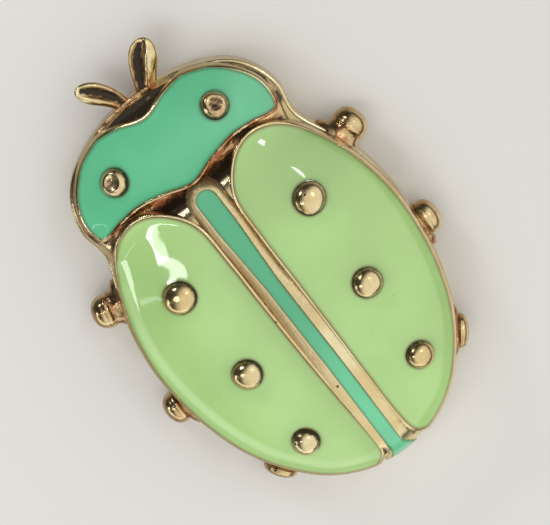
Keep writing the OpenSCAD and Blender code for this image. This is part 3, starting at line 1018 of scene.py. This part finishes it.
def plateNet(loop, studList):
    # rows that follow the edge and the studs, and an even staggered grid between them
    space = plate["netSpace"]
    low, high = loop.min(0), loop.max(0)
    x, y = np.meshgrid(np.arange(low[0], high[0], space), np.arange(low[1], high[1], space * 0.87))
    x = x + (np.arange(len(x)) % 2)[:, None] * space / 2
    grid = np.stack([x.ravel(), y.ravel()], 1)
    keepGrid = insideLoop(grid, loop)
    keepGrid &= pointsToOutline(grid, loop) > plate["edgeRows"][-1] + space * 0.6
    rows = [grown(loop, -row) for row in plate["edgeRows"]]
    turn = fullTurn(plate["studSteps"])
    ring = np.stack([np.cos(turn), np.sin(turn)], 1)
    nearest, farthest = plate["studClear"]
    for x, y, radius in studList:
        away = np.hypot(grid[:, 0] - x, grid[:, 1] - y) - radius
        keepGrid &= (away < nearest) | (away > farthest)
        rows += [(x, y) + (radius + row) * ring for row in plate["studRows"]]
    points = np.concatenate([loop, *rows, grid[keepGrid]])
    count = len(loop)
    edges = [(i, (i + 1) % count) for i in range(count)]
    found = delaunay_2d_cdt([Vector(point) for point in points], edges, [], 1, 1e-5)
    points = np.array([tuple(point) for point in found[0]])
    faces = np.array([tuple(face) for face in found[2]])
    a, b, c = (points[faces[:, k]] for k in range(3))
    turned = (b[:, 0] - a[:, 0]) * (c[:, 1] - a[:, 1]) - (b[:, 1] - a[:, 1]) * (c[:, 0] - a[:, 0]) < 0
    faces[turned] = faces[turned][:, ::-1]
    return points, faces


def enamelClimb(gap):
    return plate["climb"] * np.exp(-gap / plate["climbWidth"]) - plate["lower"]


def enamelPlate(name, outline, surface, studList, node, material, shadeAt):
    loop = grown(outline, -plate["edgeInset"])
    flat, faces = plateNet(loop, studList)
    x, y = flat[:, 0], flat[:, 1]
    gap = pointsToOutline(flat, loop)
    z = surface(x, y) - plate["sag"] * (1 - hill(gap, plate["sagWidth"])) + enamelClimb(gap)
    edge = hill(gap, plate["edgeTint"])
    for studX, studY, radius in studList:
        away = np.maximum(np.hypot(x - studX, y - studY) - radius, 0.0)
        z += plate["collarHeight"] * np.exp(-away / plate["collarWidth"])
        # a painted shadow in the enamel round the stud
        edge = np.maximum(edge, plate["studShadow"] * hill(away, plate["studShadowWidth"]))
    top = np.column_stack([x, y, z])
    low = top - (0, 0, plate["depth"])
    upper = laid(loop, surface, enamelClimb(0))
    side = Sheets()
    side.rings([upper - (0, 0, plate["depth"]), upper])
    start = len(side.points)
    points = np.concatenate([side.points, top, low])
    every = side.faces + [face + start for face in faces]
    every += [face[::-1] + start + len(top) for face in faces]
    fields = {
        "edge": np.concatenate([np.ones(start), edge, np.zeros(len(low))]),
        "shade": np.concatenate([np.zeros(start), shadeAt(x, y), np.zeros(len(low))]),
    }
    keep(makePiece(name, points, every, material, fields), node)


def studSpots(kind, side):
    return [(side * across * halfWidth, along(share), d / 2) for across, share, d in studs[kind]]


shades = {
    # how deep, and from which side line how far it fades
    "rightSeam": (0.2, 1.8, 1.6),
    "leftSeam": (0.55, 1.8, 1.1), "leftSeamFade": (6.0, 0.25),
    "rightFront": 0.45, "rightFrontRows": (-2.0, 7.0),
    "head": 0.6, "headAt": 0.80, "headSpread": (9.0, 2.2),
    "strip": 1.1, "stripRows": (0.12, 0.45),
}


def seamShade(x, look):
    deep, at, width = look
    return deep * hill(np.abs(x) - at, width)


def rightWingShade(x, y):
    # soft along the seam, and over the whole front
    front = shades["rightFront"] * smoothStep(y, *shades["rightFrontRows"])
    return front + seamShade(x, shades["rightSeam"])


def leftWingShade(x, y):
    reach, least = shades["leftSeamFade"]
    return seamShade(x, shades["leftSeam"]) * np.clip((reach - y) / reach, least, 1)


def headShade(x, y):
    # the head darkens towards the valley behind it
    spreadX, spreadY = shades["headSpread"]
    return shades["head"] * hill(y - along(shades["headAt"]), spreadY) * hill(x, spreadX, 4)


wing = wingOutline(plate["outlineSteps"])
wingSides = (("right", 1, wing, rightWingShade), ("left", -1, (wing * (-1, 1))[::-1], leftWingShade))
for label, side, outline, shadeAt in wingSides:
    enamelPlate(
        label + "WingEnamel", outline, dome, studSpots("wing", side), label + "_wing_enamel",
        appleFinish, shadeAt,
    )
enamelPlate(
    "headEnamel", headOutline(plate["outlineSteps"]), headTop, studSpots("eye", 1) + studSpots("eye", -1),
    "head_enamel", seaFinish, headShade,
)

tailFlare = {
    "rimOverlap": 0.015,
    "columns": 31,
    # it spreads over the gold at the very tail, most of all to the right: how far, and by what power
    "flareFrom": 0.036, "flareRight": (0.86, 1.4), "flareLeft": (0.6, 2.6), "flareDrop": 0.17,
    "tailMargin": 0.06, "tailRoll": 0.3, "tailRollDrop": 0.12,
    "lower": 0.03,
    "edgeTint": 0.13,
}


def stripEnamel():
    inset = strip["rim"] - tailFlare["rimOverlap"]
    radius, endY = stripEnd(inset)
    start = along(strip["tail"])
    flareFrom = along(tailFlare["flareFrom"])
    shares = np.sin(np.radians(np.linspace(-90, 90, tailFlare["columns"])))
    (right, rightPower), (left, leftPower) = tailFlare["flareRight"], tailFlare["flareLeft"]
    rows = []
    edge = []
    for half, y in stripEdge(inset)[:-1]:
        flare = max(0.0, (flareFrom - y) / (flareFrom - start))
        spread = np.where(shares > 0, right * flare**rightPower, left * flare**leftPower)
        x = shares * half + spread * shares + float(stripDrift(y))
        rowY = insideTail(x, np.full(len(x), y), tailFlare["tailMargin"])
        gap = half * (1 - np.abs(shares)) if y < endY else radius - np.hypot(x, y - endY)
        gap = np.maximum(gap, 0)
        roll = max(0.0, (start + tailFlare["tailRoll"] - y) / tailFlare["tailRoll"])
        z = stripTop(x, rowY) - tailFlare["lower"] + enamelClimb(gap) - tailFlare["tailRollDrop"] * roll**2
        z = z - tailFlare["flareDrop"] * flare * np.abs(shares) ** 3
        rows.append(np.column_stack([x, rowY, z]))
        edge.append(hill(gap, tailFlare["edgeTint"]))
    top = np.array(rows)
    low = top - (0, 0, plate["depth"])
    side = np.concatenate([top[:, 0], top[-1][1:], top[::-1, -1][1:], top[0][::-1][1:-1]])
    sheets = Sheets()
    sheets.rings(top[:, ::-1], closed=False)
    sheets.rings(np.array([side - (0, 0, plate["depth"]), side])[:, ::-1])
    sheets.rings(low, closed=False)
    zeros = np.zeros(len(sheets.points) - top.shape[0] * top.shape[1])
    stripFrom, stripTo = (along(share) for share in shades["stripRows"])
    shade = shades["strip"] * smoothStep(top[:, 0, 1], stripFrom, stripTo)
    fields = {
        "edge": np.concatenate([np.array(edge)[:, ::-1].reshape(-1), zeros]),
        "shade": np.concatenate([np.repeat(shade, top.shape[1]), zeros]),
    }
    piece = makePiece("centreStripEnamel", sheets.points, sheets.faces, seaFinish, fields)
    keep(piece, "centre_strip_enamel")


stripEnamel()
print("enamels ready")

# The pin across the hollow keeps its solid and gets its finish
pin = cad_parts["pin_back"]
pin.data.materials.clear()
pin.data.materials.append(pinFinish)
print("pin ready")

# Floor, light and camera

table = {"size": 1200.0, "colour": (0.78, 0.77, 0.75), "cloudSize": 60, "darkest": 0.97, "rough": 0.6}


def tableFloor():
    graph = Graph.material("paleTable")
    darker = tuple(c * table["darkest"] for c in table["colour"])
    tone = graph.mix(graph.noise(table["cloudSize"], 2), darker, table["colour"])
    material = graph.finish({"Base Color": tone, "Roughness": table["rough"]})
    half = table["size"] / 2
    points = [(-half, -half, 0), (half, -half, 0), (half, half, 0), (-half, half, 0)]
    floor = makePiece("paleTable", points, [(0, 1, 2, 3)], material)
    floor.visible_glossy = False


tableFloor()

lamps = {
    # the two directions that a strip lamp runs between, its width, its watts, and whether it is mirrored
    "windowUpper": ((-0.486, 0.171, 0.857), (-0.618, 0.205, 0.759), 19, 0.027, True),
    "windowLower": ((-0.618, 0.205, 0.759), (-0.398, 0.074, 0.915), 18, 0.052, True),
    "smallWindow": ((0.575, 0.10, 0.81), (0.60, 0.18, 0.775), 30, 0.045, True),
    "headWindow": ((-0.22, 0.85, 0.46), (-0.04, 0.88, 0.46), 36, 0.2, True),
    "sideStrip": ((-0.94, 0.34, 0.16), (-0.935, 0.21, 0.21), 70, 0.06, True),
    "sideTail": ((-0.925, 0.20, 0.27), (-0.74, 0.14, 0.65), 6, 0.008, True),
    "fill": ((-0.80, 0.30, 0.55), (-0.25, -0.20, 0.94), 300, 0.51, False),
}
lampRoom = {"distance": 420.0, "centre": (0, -2, 6)}


def addLamp(name, first, last, width, watts, mirrored):
    first, last = Vector(first).normalized(), Vector(last).normalized()
    towards = (first + last).normalized()
    lengthWay = (last - first).normalized()
    light = bpy.data.lights.new(name, "AREA")
    light.shape = "RECTANGLE"
    light.size = width * millimetre
    light.size_y = (last - first).length * lampRoom["distance"] * millimetre
    light.energy = watts
    lamp = bpy.data.objects.new(name, light)
    lamp.location = (Vector(lampRoom["centre"]) + towards * lampRoom["distance"]) * millimetre
    lamp.rotation_euler = Matrix((lengthWay.cross(towards), lengthWay, towards)).transposed().to_euler()
    lamp.visible_glossy = mirrored
    bpy.context.scene.collection.objects.link(lamp)


for lampName, lampSettings in lamps.items():
    addLamp(lampName, *lampSettings)

studio = {
    "brightWay": (0.50, -0.66, 0.56),
    "edge": (-0.12, 0.5),
    "horizon": (-0.05, 0.14),
    "dark": (0.05, 0.045, 0.04),
    "bright": (1.0, 0.98, 0.93),
    "below": (0.46, 0.41, 0.34), "belowBright": (0.98, 0.91, 0.78), "belowEdge": (-0.5, 0.4),
    "belowFade": (0.04, 0.7),
    # a pale skyline on the left, which the wing case mirrors as a soft band
    "skyline": (1.5, 1.48, 1.42),
    "skyWay": (-0.82, -0.57, 0.0), "skyEdge": (0.55, 0.8), "skyFoot": (-0.22, -0.06),
    "skyTop": (-0.26, -0.08),
    "strength": 0.95,
}


def studioWorld():
    # one broad soft side of the room is bright, towards the tail and the right
    world = bpy.data.worlds.new("studio")
    graph = Graph(world)
    facing = graph.facing(Vector(studio["brightWay"]).normalized())
    leftward = graph.facing(Vector(studio["skyWay"]).normalized())
    height = graph.facing((0, 0, 1))
    down = 0 - height
    lit = facing.between(*studio["edge"]) * height.between(*studio["horizon"])
    tone = graph.mix(lit, studio["dark"], studio["bright"])
    below = graph.mix(facing.between(*studio["belowEdge"]), studio["below"], studio["belowBright"])
    tone = graph.mix(down.between(*studio["belowFade"]), tone, below)
    skyline = height.between(*studio["skyFoot"]) * down.between(*studio["skyTop"])
    tone = graph.mix(skyline * leftward.between(*studio["skyEdge"]), tone, studio["skyline"])
    sockets = {"Color": tone, "Strength": studio["strength"]}
    background = graph.node("ShaderNodeBackground", {}, sockets)["Background"]
    graph.node("ShaderNodeOutputWorld", {}, {"Surface": background})
    bpy.context.scene.world = world


studioWorld()

view = {
    # how far the camera leans to the right and to the front, and the picture's turn, in degrees
    "leanRight": 4.3, "leanFront": 9.5,
    "turn": 38.207,
    "target": (0.0, -5.13, 9.2),
    "distance": 300.0,
    "lens": 236.6,
    "shift": (-0.0397, 0.0977),
    "clip": (0.01, 10),
}


def addCamera():
    camera = bpy.data.cameras.new("photoView")
    camera.lens = view["lens"]
    camera.sensor_width = 36.0
    camera.sensor_fit = "HORIZONTAL"
    camera.clip_start, camera.clip_end = view["clip"]
    camera.dof.use_dof = False
    camera.shift_x, camera.shift_y = view["shift"]
    leans = (math.tan(math.radians(view[key])) for key in ("leanRight", "leanFront"))
    towards = Vector((*leans, 1)).normalized()
    right = Vector((0, 1, 0)).cross(towards).normalized()
    up = towards.cross(right)
    turn = math.radians(view["turn"])
    across = math.cos(turn) * right - math.sin(turn) * up
    upward = math.sin(turn) * right + math.cos(turn) * up
    rotation = Matrix((across, upward, towards)).transposed().to_4x4()
    holder = bpy.data.objects.new("photoView", camera)
    place = (Vector(view["target"]) + towards * view["distance"]) * millimetre
    holder.matrix_world = Matrix.Translation(place) @ rotation
    bpy.context.scene.collection.objects.link(holder)
    bpy.context.scene.camera = holder


addCamera()
bpy.context.scene.view_settings.view_transform = "Standard"
print("light and camera ready")
